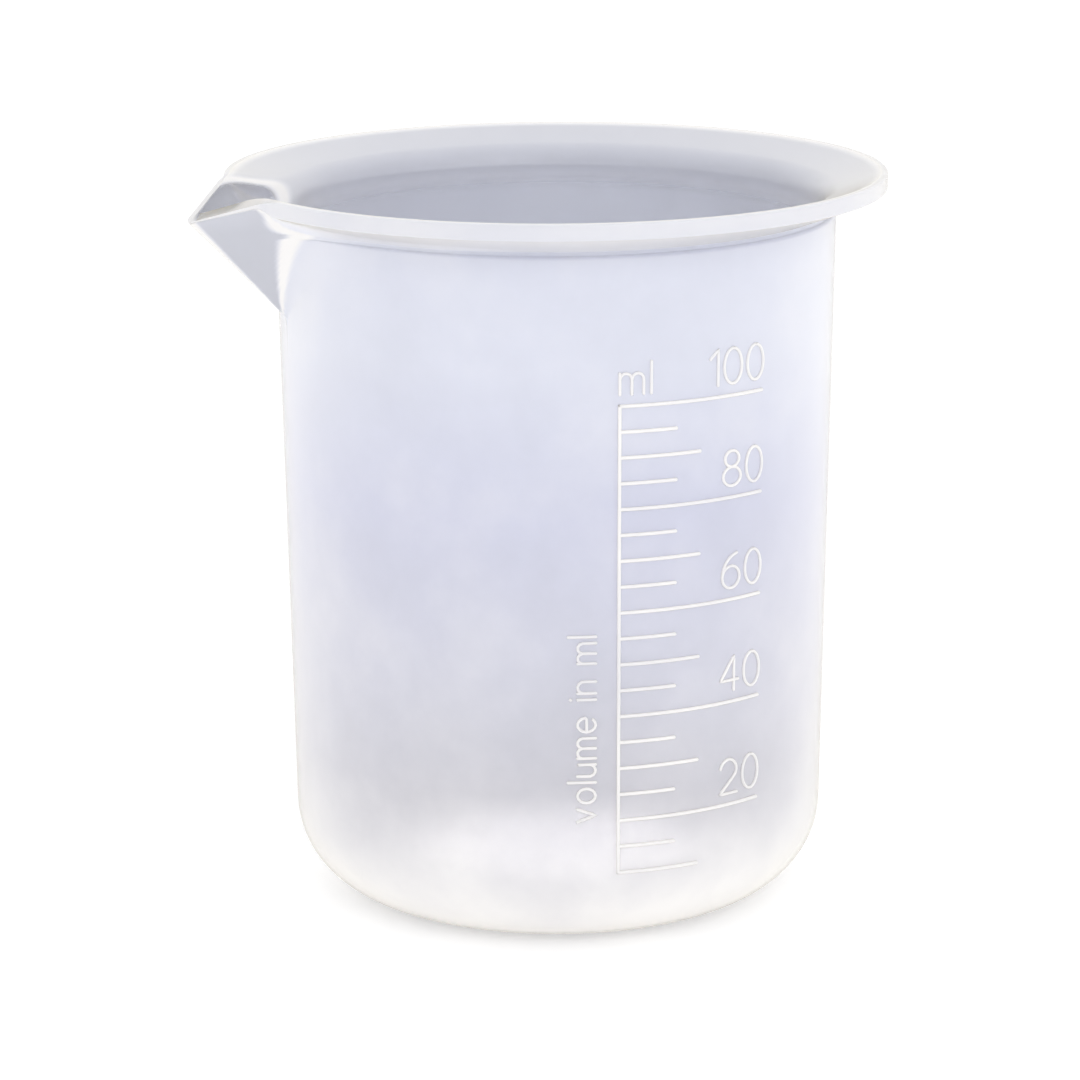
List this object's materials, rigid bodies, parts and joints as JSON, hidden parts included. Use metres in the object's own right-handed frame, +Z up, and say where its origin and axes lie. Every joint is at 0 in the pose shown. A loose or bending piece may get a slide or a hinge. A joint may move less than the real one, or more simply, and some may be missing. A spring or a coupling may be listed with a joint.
{
  "type": "plastic beaker",
  "caption": "Milky plastic laboratory beaker with a drafted wall, a flared rim, a drawn-out pouring spout, a rounded heel on a foot ring and a raised volume scale.",
  "frame": {"origin": "on the beaker's axis, on the plane that the foot ring stands on", "axes": "+Z up along the axis, -X towards the spout, -Y towards the side with the volume scale"},
  "size_m": [0.0686, 0.0644, 0.0718],
  "materials": {
    "milky_polypropylene": "translucent, satin as moulded, with a faint blue cast"
  },
  "bodies": {
    "root": {"beaker_body": "milky_polypropylene", "graduation_scale": "milky_polypropylene"}
  },
  "joints": []
}
